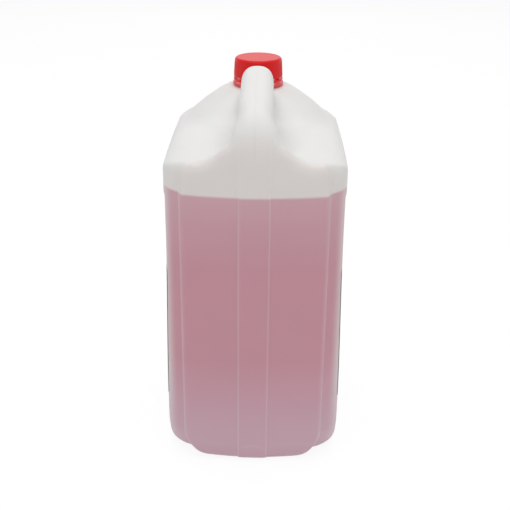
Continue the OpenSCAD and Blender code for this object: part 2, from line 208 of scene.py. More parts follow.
class JugForm:
    """The jug's outer form as functions of place, worked out from its sizes."""

    def __init__(self, sizes):
        self.s = sizes
        self.neck_y = middle("cap", 1)
        self.rim_z = sizes.deck_height - sizes.eave_height
        self.root_x = sizes.handle_width / 2 + sizes.post_flare + sizes.root_radius
        self.root_z = sizes.deck_height - 2 * MM
        self.roof_z = sizes.deck_height + sizes.roof_rise
        self.neck_top = self.roof_z + sizes.neck_height
        self.bead_radius = sizes.neck_radius + sizes.thread_depth
        self.land_radius = self.bead_radius + 6 * MM

    def half_width(self, z):
        """Half the width at the corners of the broad faces."""
        s = self.s
        drawn = s.swell * ease((z - 40 * MM) / (s.band_height - 60 * MM))
        band = s.band_step * ease((z - s.band_height) / (5 * MM))
        return s.body_width / 2 - s.bow - drawn + band - round_in(s.base_radius, z)

    def half_length(self, z):
        """Half the length between the strips."""
        return self.s.body_length / 2 - round_in(self.s.base_radius, z)

    def corner(self, z):
        """Radius of the upright corners, which grows at the foot."""
        s = self.s
        return s.corner_radius + s.foot_radius * max(0.0, 1 - z / s.foot_height) ** 1.5

    def end_sag(self, x):
        """How far an end face lies back at a distance from its middle."""
        return self.s.end_bow * (2 * x / self.s.panel_width) ** 2

    def panel_sag(self, x, z):
        """How far the raised panel lies back at a distance from its middle, more so at its foot."""
        s = self.s
        return self.end_sag(x) * (1 + s.foot_sag / s.end_bow * max(0.0, 1 - z / (20 * MM)) ** 1.5)

    def panel_half(self, z):
        """Half the width of the raised panel, whose lower corners are round."""
        return self.s.panel_width / 2 - round_in(self.s.panel_foot_radius, z)

    def quarter(self, z, inset):
        """Points from the middle of an end face round one corner to the middle of a side."""
        s = self.s
        half_w = self.half_width(z) - inset
        half_l = self.half_length(z) - inset
        panel_y = half_l - s.strip_step
        column_y = panel_y - s.end_bow - s.panel_step - s.foot_back * max(0.0, 1 - z / s.foot_height) ** 1.5
        radius = max(2 * MM, self.corner(z) - inset)
        centre_x = half_w - radius
        centre_y = column_y - radius
        strip_x = s.strip_width / 2 - 0.3 * inset
        panel_x = self.panel_half(z) - inset
        knee = panel_x + 1.5 * MM
        start = pi / 2 if knee <= centre_x else acos(min(1.0, (knee - centre_x) / radius))
        knee_y = column_y if knee <= centre_x else centre_y + radius * sin(start)
        slope = 1.2 * MM
        points = []
        for i in range(4):
            x = i * (strip_x - slope) / 4
            points.append((x, half_l - self.panel_sag(x, z)))
        for i in range(7):
            x = strip_x + lerp(-slope, slope, i / 6)
            points.append((x, half_l - self.panel_sag(x, z) - s.strip_step * ease(i / 6)))
        left, right = strip_x + slope, panel_x - 3 * MM
        for t in (0.06, 0.14, 0.23, 0.33, 0.43, 0.53, 0.63, 0.73, 0.83, 0.92):
            x = lerp(left, right, t)
            points.append((x, panel_y - self.panel_sag(x, z)))
        for i in range(9):
            t = i / 8
            x = lerp(right, knee, t)
            points.append((x, lerp(panel_y - self.panel_sag(x, z), knee_y, ease(t ** 1.4))))
        for i in range(1, 15):
            angle = start * (1 - i / 14)
            points.append((centre_x + radius * cos(angle), centre_y + radius * sin(angle)))
        for i in range(1, 13):
            t = 1 - i / 12
            points.append((half_w + s.bow * (1 - t * t), centre_y * t))
        return points

    def outline(self, z, inset=0.0):
        """Whole plan at a height, going round from the middle of the front face."""
        q = self.quarter(z, inset)
        return (
            [(x, -y) for x, y in q]
            + q[-2::-1]
            + [(-x, y) for x, y in q[1:]]
            + [(-x, -y) for x, y in q[-2:0:-1]]
        )

    def ring(self, z, inset=0.0):
        """The outline as points at its height."""
        return [(x, y, z) for x, y in self.outline(z, inset)]

    def round_rise(self, x):
        """Rise of the round between the post and the shoulder at a distance from the middle."""
        out = min(self.s.root_radius, max(0.0, self.root_x - abs(x)))
        return self.s.root_radius - sqrt(max(0.0, self.s.root_radius ** 2 - out ** 2))

    def round_half(self, height):
        """Half the width of that round at a height above the shoulder's level edge."""
        down = self.s.root_radius - min(self.s.root_radius, max(0.0, height))
        return self.root_x - sqrt(max(0.0, self.s.root_radius ** 2 - down ** 2))

    def bell(self, x, y):
        """Rise of the shoulder's front edge into the front post of the handle."""
        s = self.s
        reach = -y - s.body_length / 2 + s.post_depth + 5 * MM
        return min(s.root_rise, self.round_rise(x)) * ease(reach / (20 * MM))

    def dip(self, x, y):
        """Depth of the hollow in the deck below the handle."""
        s = self.s
        along = ease((y + s.body_length / 2 - s.post_depth) / (18 * MM))
        fore = ease((self.neck_y - s.roof_front - y) / (24 * MM))
        return s.finger_dip * ease(1.6 - abs(x) / (25 * MM)) * along * fore

    def deck(self, x, y, edge):
        """Height of the deck at a point that lies edge inside the deck's outline."""
        s = self.s
        rise = min(
            round_up(s.eave_run, s.eave_height, edge),
            round_up(s.side_run, s.eave_height, self.half_width(self.rim_z) - abs(x)),
            round_up(s.side_run, s.eave_height, s.body_length / 2 - y),
        )
        return self.rim_z + rise + self.bell(x, y) - self.dip(x, y)

    def roof_reach(self, direction, t):
        """Distance from the neck axis to the roof's contour t of the way down."""
        s = self.s
        side = self.half_width(self.rim_z) - s.roof_side
        back = s.body_length / 2 - self.neck_y - s.roof_back
        end = s.roof_front if direction[1] < 0 else back
        power = lerp(2, 4, t)
        across = abs(direction[0]) / lerp(self.land_radius, side, t)
        along = abs(direction[1]) / lerp(self.land_radius, end, t)
        return (across ** power + along ** power) ** (-1 / power)

    def shoulder_rings(self):
        """Rings from the eave in over the deck and up the roof to the land round the neck."""
        s = self.s
        rings = [[(x, y, self.rim_z + self.bell(x, y)) for x, y in self.outline(self.rim_z)]]
        deck_edge = 2 * s.eave_run
        for share in (0.008, 0.03, 0.065, 0.11, 0.17, 0.25, 0.36, 0.5, 0.65, 0.82, 1):
            e = share * deck_edge
            rings.append([(x, y, self.deck(x, y, e)) for x, y in self.outline(self.rim_z, e)])
        rim = self.outline(self.rim_z, deck_edge)
        polar = []
        for x, y in rim:
            far = hypot(x, y - self.neck_y)
            polar.append((far, (x / far, (y - self.neck_y) / far)))
        deck_steps, roof_steps = 24, 18
        for i in range(1, deck_steps + roof_steps + 1):
            on_deck = i < deck_steps
            share = (i if on_deck else i - deck_steps) / (deck_steps if on_deck else roof_steps)
            t = 1 if on_deck else 1 - share
            up = 0 if on_deck else 1 - lerp(t, ease(t), 0.3)
            ring = []
            for far, d in polar:
                reach = self.roof_reach(d, t)
                at = lerp(far, min(far - 0.5 * MM, reach), share) if on_deck else min(far - (1 + share) * MM, reach)
                x, y = d[0] * at, d[1] * at + self.neck_y
                ring.append((x, y, lerp(self.deck(x, y, deck_edge), self.roof_z, up)))
            rings.append(ring)
        return rings

    def handle_stations(self):
        """Outer and inner point of each section of the handle, from its back root to its foot."""
        s = self.s
        cap_wall, clearance = 1.7 * MM, 4 * MM
        root_depth, inner_run, inner_rise = 23 * MM, 9 * MM, 11 * MM
        back = self.neck_y - self.bead_radius - cap_wall - clearance
        top = s.deck_height + s.handle_rise
        front = -s.body_length / 2 + 0.3 * MM
        bend_y = front + s.bend_radius
        under = top - s.handle_depth
        under_r = s.bend_radius - s.post_depth + 1 * MM
        stations = [
            ((back - 1 * MM, self.roof_z - 20 * MM), (back - 22 * MM, s.deck_height - 12 * MM)),
            ((back - 0.5 * MM, self.roof_z - 6 * MM), (back - 22.6 * MM, s.deck_height - 2 * MM)),
        ]
        for i in range(9):
            a = radians(90 * i / 8)
            stations.append((
                (
                    back - s.back_bend_radius * (1 - cos(a)),
                    top + s.handle_tilt - s.back_bend_radius * (1 - sin(a)),
                ),
                (
                    back - root_depth - inner_run * (1 - cos(a)),
                    under + s.handle_tilt / 4 - inner_rise * (1 - sin(a)),
                ),
            ))
        for i in range(1, 8):
            t = i / 8
            stations.append((
                (lerp(back - s.back_bend_radius, bend_y, t), lerp(top + s.handle_tilt, top, t)),
                (lerp(back - root_depth - inner_run, bend_y, t), lerp(under + s.handle_tilt / 4, under, t)),
            ))
        for i in range(15):
            a = radians(90 + 90 * i / 14)
            stations.append((
                (bend_y + s.bend_radius * cos(a), top - s.bend_radius * (1 - sin(a))),
                (bend_y + under_r * cos(a), under - under_r * (1 - sin(a))),
            ))
        for i in range(7):
            z = lerp(s.deck_height - 1 * MM, s.deck_height - 17.5 * MM, i / 6)
            stations.append(((front + 0.1 * (s.deck_height + 4 * MM - z), z), (bend_y - under_r, z)))
        return stations

    def handle_half(self, outer_y, outer_z):
        """Half the handle's width at a section."""
        s = self.s
        if outer_y >= 0:
            return s.handle_width / 2 + 3 * MM * ease((self.roof_z + 10 * MM - outer_z) / (20 * MM))
        rise = outer_z - self.root_z
        drawn = s.post_flare * ease((rise - s.root_radius + 3 * MM) / (14 * MM))
        return self.round_half(max(s.root_rise, rise)) - drawn

    def handle_rings(self, count=48):
        """Closed sections of the handle, squarer where it spreads into the shoulder."""
        s = self.s
        rings = []
        for outer, inner in self.handle_stations():
            half = self.handle_half(outer[0], outer[1])
            power = 2 / (2.5 + 1.2 * ease((half - s.handle_width / 2) / (12 * MM)))
            mid = ((outer[0] + inner[0]) / 2, (outer[1] + inner[1]) / 2)
            across = ((outer[0] - inner[0]) / 2, (outer[1] - inner[1]) / 2)
            ring = []
            for k in range(count):
                a = 2 * pi * k / count
                u = copysign(abs(cos(a)) ** power, cos(a))
                v = copysign(abs(sin(a)) ** power, sin(a))
                ring.append((half * u, mid[0] + across[0] * v, mid[1] + across[1] * v))
            rings.append(ring)
        return rings

    def side_at(self, y, z):
        """Distance from the middle plane to a broad face."""
        s = self.s
        half_w = self.half_width(z)
        radius = self.corner(z)
        centre_y = self.half_length(z) - s.strip_step - s.end_bow - s.panel_step - radius
        over = max(0.0, abs(y) - centre_y)
        if over > 0:
            return half_w - radius + sqrt(radius ** 2 - over ** 2)
        return half_w + s.bow * (1 - (y / centre_y) ** 2)


def loft(bm, rings, close_high=True):
    """Extrudes a ring of points through all the rings, closes its ends and returns the last ring."""
    count = len(rings[0])
    verts = bmesh.ops.create_circle(bm, cap_ends=False, segments=count, radius=1)["verts"]
    first = list(verts)
    for vert, place in zip(verts, rings[0]):
        vert.co = place
    for ring in rings[1:]:
        edges = [bm.edges.get((verts[i], verts[(i + 1) % count])) for i in range(count)]
        made = bmesh.ops.extrude_edge_only(bm, edges=edges)["geom"]
        fresh = {g for g in made if isinstance(g, bmesh.types.BMVert)}
        verts = [next(e.other_vert(v) for e in v.link_edges if e.other_vert(v) in fresh) for v in verts]
        for vert, place in zip(verts, ring):
            vert.co = place
    bmesh.ops.contextual_create(bm, geom=first)
    if close_high:
        bmesh.ops.contextual_create(bm, geom=verts)
    return verts


def lathe(bm, profile, centre, steps, closed=False):
    """Spins a profile of (radius, height) points about an upright axis."""
    verts = [bm.verts.new((centre[0] + r, centre[1], z)) for r, z in profile]
    pairs = list(zip(verts, verts[1:])) + ([(verts[-1], verts[0])] if closed else [])
    edges = [bm.edges.new(pair) for pair in pairs]
    bmesh.ops.spin(
        bm, geom=verts + edges, cent=(centre[0], centre[1], 0), axis=(0, 0, 1), dvec=(0, 0, 0),
        angle=2 * pi, steps=steps, use_merge=True, use_duplicate=False,
    )


def thread_height(angle, z, low, high, pitch):
    """Height of a one-start thread's ridge, from 0 to 1, fading out at both ends."""
    turn = ((z / pitch - angle / (2 * pi)) % 1.0) - 0.5
    ridge = ease(1.9 - abs(turn) * 7)
    return ridge * ease((z - low) / pitch * 1.5) * ease((high - z) / pitch * 1.5)


def new_object(name, bm, smooth=True, angle=None):
    """Turns a bmesh into a finished object at the origin, with edges sharp past an angle."""
    mesh = bpy.data.meshes.new(name)
    if smooth:
        bmesh.ops.recalc_face_normals(bm, faces=bm.faces[:])
    bm.to_mesh(mesh)
    bm.free()
    for polygon in mesh.polygons:
        polygon.use_smooth = smooth
    if angle is not None:
        mesh.set_sharp_from_angle(angle=radians(angle))
    obj = bpy.data.objects.new(name, mesh)
    bpy.context.scene.collection.objects.link(obj)
    return obj


def dress(obj, material):
    """Gives an object one material."""
    obj.data.materials.clear()
    obj.data.materials.append(material)


def dress_node(name, material):
    """Gives a CAD node one material, in each of its slots."""
    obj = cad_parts[name]
    for slot in obj.material_slots:
        slot.material = material
    if not obj.material_slots:
        obj.data.materials.append(material)


class Value:
    """A number in a node tree. Arithmetic on it builds math nodes."""

    def __init__(self, tree, socket):
        self.tree = tree
        self.socket = socket

    def math(self, operation, *others):
        """Math node on this value and up to two others."""
        node = self.tree.nodes.new("ShaderNodeMath")
        node.operation = operation
        for socket, value in zip(node.inputs, (self, *others)):
            feed(self.tree, socket, value)
        return Value(self.tree, node.outputs[0])

    def step(self, low, high):
        """Smooth step from 0 at low to 1 at high."""
        node = self.tree.nodes.new("ShaderNodeMapRange")
        node.interpolation_type = "SMOOTHSTEP"
        for name, value in (("Value", self), ("From Min", low), ("From Max", high)):
            feed(self.tree, node.inputs[name], value)
        return Value(self.tree, node.outputs["Result"])

    def near(self, width):
        """Mask that is 1 where this value is 0, and fades out over a width to either side."""
        return 1.0 - abs(self).step(0.0, width)

    def __add__(self, other):
        return self.math("ADD", other)

    def __sub__(self, other):
        return self.math("SUBTRACT", other)

    def __rsub__(self, other):
        return self.math("MULTIPLY_ADD", -1.0, other)

    def __mul__(self, other):
        return self.math("MULTIPLY", other)

    def __truediv__(self, other):
        return self.math("DIVIDE", other)

    def __abs__(self):
        return self.math("ABSOLUTE")


def feed(tree, socket, value):
    """Links a value or an output to a socket, or sets the socket's own value."""
    if isinstance(value, Value):
        value = value.socket
    if isinstance(value, bpy.types.NodeSocket):
        tree.links.new(value, socket)
    else:
        socket.default_value = value


def new_material(name):
    """New material with a Principled shader, and its node tree."""
    material = bpy.data.materials.new(name)
    material.use_nodes = True
    tree = material.node_tree
    tree.nodes.clear()
    shader = tree.nodes.new("ShaderNodeBsdfPrincipled")
    out = tree.nodes.new("ShaderNodeOutputMaterial")
    tree.links.new(shader.outputs["BSDF"], out.inputs["Surface"])
    return material, tree, shader


def mix_node(tree, factor, a, b):
    """Colour mix node, whose colour sockets are inputs 6 and 7 and output 2."""
    node = tree.nodes.new("ShaderNodeMix")
    node.data_type = "RGBA"
    for index, value in ((0, factor), (6, a), (7, b)):
        feed(tree, node.inputs[index], value)
    return node.outputs[2]


def object_place(tree):
    """Object coordinates, and each of their parts as a value."""
    place = tree.nodes.new("ShaderNodeTexCoord").outputs["Object"]
    parts = tree.nodes.new("ShaderNodeSeparateXYZ")
    tree.links.new(place, parts.inputs[0])
    return place, *(Value(tree, part) for part in parts.outputs)


def rgba(value):
    """Colour with alpha."""
    return (*value, 1.0)


def group_tree(name, inputs, outputs):
    """New shader node group with named inputs and outputs."""
    tree = bpy.data.node_groups.new(name, "ShaderNodeTree")
    for label, kind, default in inputs:
        tree.interface.new_socket(name=label, in_out="INPUT", socket_type=kind).default_value = default
    for label, kind in outputs:
        tree.interface.new_socket(name=label, in_out="OUTPUT", socket_type=kind)
    return tree, tree.nodes.new("NodeGroupInput").outputs, tree.nodes.new("NodeGroupOutput").inputs


def noise(tree, place, scale, detail):
    """Noise texture of a size at a place."""
    node = tree.nodes.new("ShaderNodeTexNoise")
    for name, value in (("Vector", place), ("Scale", scale), ("Detail", detail)):
        feed(tree, node.inputs[name], value)
    return Value(tree, node.outputs[0])


def moulded_grain():
    """Group: cloudy tint, uneven gloss and a fine tooled texture of a moulded plastic."""
    name = "Moulded grain"
    if name in bpy.data.node_groups:
        return bpy.data.node_groups[name]
    tree, given, out = group_tree(
        name,
        [
            ("Colour", "NodeSocketColor", (0.8, 0.8, 0.8, 1)),
            ("Cloud size", "NodeSocketFloat", 30.0),
            ("Cloud depth", "NodeSocketFloat", 0.04),
            ("Gloss", "NodeSocketFloat", 0.4),
            ("Texture size", "NodeSocketFloat", 1600.0),
        ],
        [("Colour", "NodeSocketColor"), ("Roughness", "NodeSocketFloat"), ("Height", "NodeSocketFloat")],
    )
    place = object_place(tree)[0]
    swing = (noise(tree, place, given["Cloud size"], 4.0) - 0.5) * given["Cloud depth"]
    shade = tree.nodes.new("ShaderNodeHueSaturation")
    feed(tree, shade.inputs["Color"], given["Colour"])
    feed(tree, shade.inputs["Value"], swing * 2.0 + 1.0)
    feed(tree, out["Colour"], shade.outputs["Color"])
    feed(tree, out["Roughness"], swing * 1.5 + given["Gloss"])
    feed(tree, out["Height"], noise(tree, place, given["Texture size"], 2.0))
    return tree


def use_grain(tree, shader, tint, cloud_size, cloud_depth, gloss, texture_size, depth, extra_height=0.0):
    """Places the grain group in a material and feeds its shader. Depth is the bump's, in metres."""
    node = tree.nodes.new("ShaderNodeGroup")
    node.node_tree = moulded_grain()
    for name, value in (
        ("Colour", tint), ("Cloud size", cloud_size), ("Cloud depth", cloud_depth), ("Gloss", gloss),
        ("Texture size", texture_size),
    ):
        feed(tree, node.inputs[name], value)
    bump = tree.nodes.new("ShaderNodeBump")
    bump.inputs["Distance"].default_value = depth
    bump.inputs["Strength"].default_value = 1
    feed(tree, bump.inputs["Height"], Value(tree, node.outputs["Height"]) + extra_height)
    tree.links.new(node.outputs["Colour"], shader.inputs["Base Color"])
    tree.links.new(node.outputs["Roughness"], shader.inputs["Roughness"])
    tree.links.new(bump.outputs["Normal"], shader.inputs["Normal"])


def mix_shader(tree, factor, a, b, out):
    """Mixes two shaders into an output node."""
    blend = tree.nodes.new("ShaderNodeMixShader")
    feed(tree, blend.inputs[0], factor)
    tree.links.new(a.outputs[0], blend.inputs[1])
    tree.links.new(b.outputs[0], blend.inputs[2])
    tree.links.new(blend.outputs[0], out.inputs["Surface"])


def seen_ray(tree):
    """Mask of the rays on which the white background is seen."""
    path = tree.nodes.new("ShaderNodeLightPath")
    seen = Value(tree, path.outputs["Is Camera Ray"])
    for kind in ("Is Glossy Ray", "Is Transmission Ray"):
        seen = seen.math("MAXIMUM", path.outputs[kind])
    return seen


def step_line_highlights(sizes):
    """Group: mask of the edges of the strip and of the raised panel on the end faces, where paler lines are painted:
    partly thicker plastic at the steps, partly a painted highlight where the edges catch the light.
    """
    name = "Panel edges"
    if name in bpy.data.node_groups:
        return bpy.data.node_groups[name]
    tree, _, out = group_tree(name, [], [("Edges", "NodeSocketFloat")])
    _, x, y, z = object_place(tree)
    strip_line, panel_line, line_out = 0.9 * MM, 1.1 * MM, 0.4 * MM
    half_l, radius = sizes.body_length / 2, sizes.panel_foot_radius
    strip = (abs(x) - sizes.strip_width / 2).near(strip_line)
    drop = (radius - z).math("MAXIMUM", 0.0)
    reach = (radius ** 2 - drop * drop).math("MAXIMUM", 0.0).math("SQRT")
    edge_x = reach + (sizes.panel_width / 2 + line_out - radius)
    panel = (abs(x) - edge_x).near(panel_line)
    feed(tree, out["Edges"], strip.math("MAXIMUM", panel) * abs(y).step(half_l - 11 * MM, half_l - 9 * MM))
    return tree


def liquid_ramp(tree, colours, share):
    """Colour of the wall with liquid behind it, by the share of the way up to the level."""
    ramp = tree.nodes.new("ShaderNodeValToRGB")
    feed(tree, ramp.inputs["Fac"], share)
    stops = ramp.color_ramp.elements
    stops[0].color = rgba(colours.liquid_floor)
    stops[1].color = rgba(colours.liquid_top)
    for position, tint in (
        (0.07, colours.liquid_foot), (0.21, colours.liquid_low), (0.41, colours.liquid_mid),
        (0.75, colours.liquid_mid), (0.9, colours.liquid_high),
    ):
        stops.new(position).color = rgba(tint)
    return ramp.outputs["Color"]


def column_mask(x, y, z):
    """Mask of the paler corner columns, weaker at the foot and on the broad faces."""
    at_ends, on_sides, at_foot = 0.405, 0.088, 0.5
    rise = z.step(*COLUMN_FOOT) + at_foot
    return abs(x).step(*COLUMN_SIDE) * (abs(y).step(*COLUMN_END) * rise * at_ends + on_sides)


def dry_mask(x, z, level):
    """Mask that is 0 below the liquid's level and 1 above it, lower in the middle of an end face."""
    reach = 62 * MM
    off = (abs(x) / reach).math("MINIMUM", 1.0)
    return ((1.0 - off * off) * LEVEL_SAG + z).step(level - 1.2 * MM, level + 1.6 * MM)


def arch_highlight_mask(x, z):
    """Mask of the painted highlight along the small moulded arch at the foot of each strip."""
    arch_x, arch_z = x / ARCH_HALF_X, (z - ARCH_CENTRE_Z) / ARCH_HALF_Z
    return (arch_x * arch_x + arch_z * arch_z - 1.0).near(0.35) * z.step(*ARCH_ENDS)


def natural_plastic(colours, sizes, level):
    """Milky plastic, pink where liquid stands behind it, with painted shade on the upright walls above the liquid and
    up the front post, paler lines along the edges of its end panels that are partly thicker plastic and partly painted
    highlight, and a painted highlight on the arch at each strip's foot.
    """
    edge_highlight_mix, arch_highlight_mix, seam_height, post_shade_reach = 0.22, 0.14, 4.0, 0.04
    material, tree, shader = new_material("Natural plastic")
    _, x, y, z = object_place(tree)
    plastic = rgba(colours.plastic)
    wet = mix_node(tree, column_mask(x, y, z), liquid_ramp(tree, colours, z / level), plastic)
    # Painted shade: the upright walls above the liquid take the darker, warmer plastic, which climbs higher up the
    # front of the post, while the deck and the roof stay plain.
    high = y.step(*POST_FRONT) * post_shade_reach + z
    dry = mix_node(tree, high.step(*POST_SHADE), rgba(colours.plastic_shade), plastic)
    tint = mix_node(tree, dry_mask(x, z, level), wet, dry)
    # Paler lines along the edges of the strip and the end panels: partly thicker plastic at the steps, partly a painted
    # highlight where the edges catch the light.
    edges = tree.nodes.new("ShaderNodeGroup")
    edges.node_tree = step_line_highlights(sizes)
    tint = mix_node(tree, Value(tree, edges.outputs["Edges"]) * edge_highlight_mix, tint, plastic)
    # Painted highlight along the small moulded arch at the foot of each strip.
    tint = mix_node(tree, arch_highlight_mask(x, z) * arch_highlight_mix, tint, plastic)
    seam = x.near(SEAM_WIDTH) * z.step(*SEAM_START)
    use_grain(
        tree, shader, tint, cloud_size=26, cloud_depth=0.03, gloss=0.42, texture_size=1400, depth=0.03 * MM,
        extra_height=seam * seam_height,
    )
    shader.inputs["IOR"].default_value = 1.5
    shader.inputs["Subsurface Weight"].default_value = 0.25
    shader.inputs["Subsurface Radius"].default_value = (1.0, 0.75, 0.7)
    shader.inputs["Subsurface Scale"].default_value = 0.004
    return material


def closure_plastic(colours):
    """Glossy red plastic of the cap and the ring, with painted highlights in dashes at the bridges along the slit
    between them and along a step lower on the ring, and a paler pink over the ring's lower part.
    """
    bridge_highlight_mix, step_highlight_mix, ring_mix = 0.85, 0.7, 0.14
    bridge_highlight_tint, ring_tint = (0.98, 0.5, 0.46, 1), (0.95, 0.55, 0.6, 1)
    material, tree, shader = new_material("Closure plastic")
    _, x, y, z = object_place(tree)
    slit_z = bottom_of("cap")
    turn = (y - middle("cap", 1)).math("ARCTAN2", x)
    # Painted highlights in dashes at the bridges: along the slit under the cap and along a step lower on the ring.
    spots = (turn * BRIDGES).math("SINE").step(-0.2, 0.5)
    low = (z - (slit_z - 3.5 * MM)).near(0.7 * MM) * step_highlight_mix
    pale = (z - slit_z).near(1.1 * MM).math("MAXIMUM", low) * spots * bridge_highlight_mix
    thin = 1.0 - z.step(slit_z - 3 * MM, slit_z - 1 * MM)
    ring = mix_node(tree, thin * ring_mix, rgba(colours.closure), ring_tint)
    tint = mix_node(tree, pale, ring, bridge_highlight_tint)
    use_grain(tree, shader, tint, cloud_size=90, cloud_depth=0.04, gloss=0.34, texture_size=2500, depth=0.01 * MM)
    shader.inputs["Specular IOR Level"].default_value = 0.22
    return material


def label_stock(colours):
    """Matt label film with a fine fibre."""
    material, tree, shader = new_material("Label stock")
    tint = rgba(colours.label)
    use_grain(tree, shader, tint, cloud_size=140, cloud_depth=0.25, gloss=0.5, texture_size=5000, depth=0.01 * MM)
    return material


def sealing_foam():
    """Closed-cell foam of the sealing disc."""
    material, tree, shader = new_material("Sealing foam")
    tint = (0.86, 0.86, 0.83, 1)
    use_grain(tree, shader, tint, cloud_size=200, cloud_depth=0.1, gloss=0.8, texture_size=3000, depth=0.08 * MM)
    return material


def cleaning_liquid(colours):
    """Clear pink liquid with a still surface."""
    material, tree, shader = new_material("Cleaning liquid")
    tint = rgba(colours.liquid)
    use_grain(tree, shader, tint, cloud_size=15, cloud_depth=0.05, gloss=0.04, texture_size=120, depth=0.02 * MM)
    shader.inputs["IOR"].default_value = 1.34
    return material


class CLEANERJUG_OT_skin(bpy.types.Operator):
    """Build the jug's blown skin with its handle and its threaded neck"""

    bl_idname = "cleanerjug.skin"
    bl_label = "Jug skin"

    def execute(self, context):
        sizes = context.scene.jug_sizes
        form = JugForm(sizes)
        cut = form.rim_z - 6 * MM
        below_cut = cut - 1.5 * MM
        shoulder = self.shoulder(form, cut)
        bm = bmesh.new()
        heights = [0, 0.4, 1.2, 2.2, 3.5, 5, 6.5, 8, 10, 12, 14.5, 17, 20, 23, 26, 31, 38, 48, 60, 75, 90]
        heights += [110, 130, 150, 170, 190, 205, 214, 218, 219.4, 220.6, 221.6, 222.6, 224, 227, 231]
        walls = [form.ring(h * MM) for h in heights] + [form.ring(below_cut)]
        foot = form.outline(0)
        floor = []
        for scale, rise in ((0.5, 1), (0.74, 1), (0.775, 0.93), (0.81, 0.5), (0.845, 0.07), (0.88, 0), (0.95, 0)):
            floor.append([(x * scale, y * scale, sizes.dish * rise) for x, y in foot])
        top_ring = loft(bm, floor + walls, close_high=False)
        low_loop = {e for v in top_ring for e in v.link_edges if e.is_boundary}
        bm.from_mesh(shoulder)
        bpy.data.meshes.remove(shoulder)
        bm.edges.ensure_lookup_table()
        high_loop = {
            e for e in bm.edges
            if e.is_boundary and e not in low_loop and abs(e.verts[0].co.z - cut) < 0.2 * MM
        }
        bmesh.ops.bridge_loops(bm, edges=list(low_loop | high_loop))
        self.neck(bm, form)
        skin = new_object("jug_skin", bm, angle=50)
        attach(skin, "body")
        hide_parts("jug")
        dress(skin, natural_plastic(context.scene.jug_colours, sizes, top_of("cleaner")))
        return {"FINISHED"}

    def shoulder(self, form, cut):
        """Shoulder and handle blended into one skin, cut off level below the eave."""
        bm = bmesh.new()
        low = cut - 8 * MM
        walls = [form.ring(z) for z in (low, cut - 4 * MM, cut, cut + 3 * MM)]
        loft(bm, walls + form.shoulder_rings())
        loft(bm, form.handle_rings())
        rough = new_object("shoulder", bm)
        remesh = rough.modifiers.new("Blend", "REMESH")
        remesh.mode = "VOXEL"
        remesh.voxel_size = form.s.voxel
        mesh = bpy.data.meshes.new_from_object(rough.evaluated_get(bpy.context.evaluated_depsgraph_get()))
        bpy.data.objects.remove(rough)
        bm = bmesh.new()
        bm.from_mesh(mesh)
        bmesh.ops.triangulate(bm, faces=[])
        for region, rounds in ((None, 6), (self.at_post, 12), (self.at_roof, 40)):
            for _ in range(rounds):
                verts = [v for v in bm.verts if region is None or region(form, v.co)]
                bmesh.ops.smooth_vert(bm, verts=verts, factor=0.5, use_axis_x=True, use_axis_y=True, use_axis_z=True)
        bmesh.ops.bisect_plane(
            bm, geom=bm.verts[:] + bm.edges[:] + bm.faces[:], plane_co=(0, 0, cut), plane_no=(0, 0, 1),
            clear_inner=True,
        )
        land = [f for f in bm.faces if self.in_bore(form, f.calc_center_median())]
        bmesh.ops.delete(bm, geom=land, context="FACES")
        bm.to_mesh(mesh)
        bm.free()
        return mesh

    def at_post(self, form, place):
        """Whether a point lies where the front post runs into the shoulder."""
        x, y, z = place
        deck = form.s.deck_height
        return y < -56 * MM and abs(x) < 44 * MM and deck - 2 * MM < z < deck + 20 * MM

    def at_roof(self, form, place):
        """Whether a point lies at the foot of the roof, or at the back root of the handle."""
        x, y, z = place
        deck = form.s.deck_height
        root = -8 * MM < y < 34 * MM and abs(x) < 22 * MM and deck - 3 * MM < z < form.roof_z
        fold = y > -8 * MM and deck - 8 * MM < z < deck + 8 * MM
        return root or fold

    def in_bore(self, form, place):
        """Whether a point lies on the land inside the neck's bore."""
        near = hypot(place.x, place.y - form.neck_y) < form.s.bore_radius + 1 * MM
        return near and place.z > form.roof_z - 2 * MM

    def neck(self, bm, form):
        """Neck with its bead and screw thread, open down into the jug."""
        s = form.s
        roof, top = form.roof_z, form.neck_top
        bore, outer, bead = s.bore_radius, s.neck_radius, form.bead_radius
        before = set(bm.verts)
        profile = [
            (bore + 1.5 * MM, roof - 2.5 * MM), (bore, roof - 1 * MM), (bore, top - 0.5 * MM),
            (bore + 0.15 * MM, top - 0.15 * MM), (bore + 0.5 * MM, top), (outer - 0.5 * MM, top),
            (outer - 0.15 * MM, top - 0.15 * MM),
        ]
        low = roof + 6.8 * MM
        rows = 48
        profile += [(outer, lerp(top - 0.5 * MM, low, i / rows)) for i in range(rows + 1)]
        profile += [
            (outer + 0.2 * MM, low - 0.5 * MM), (bead, low - 1.3 * MM), (bead, low - 2.1 * MM), (outer, low - 3.2 * MM),
            (outer, roof + 1.6 * MM), (outer + 0.3 * MM, roof + 0.7 * MM), (outer + 1.1 * MM, roof + 0.15 * MM),
            (outer + 2.6 * MM, roof - 0.1 * MM), (outer + 4 * MM, roof - 0.6 * MM),
        ]
        lathe(bm, profile, (0, form.neck_y), 120)
        for vert in set(bm.verts) - before:
            dx, dy = vert.co.x, vert.co.y - form.neck_y
            radius = hypot(dx, dy)
            if abs(radius - outer) < 0.02 * MM and vert.co.z > low:
                ridge = thread_height(atan2(dy, dx), vert.co.z, low, top - 0.6 * MM, s.thread_pitch)
                grown = (radius + s.thread_depth * ridge) / radius
                vert.co.x, vert.co.y = dx * grown, form.neck_y + dy * grown


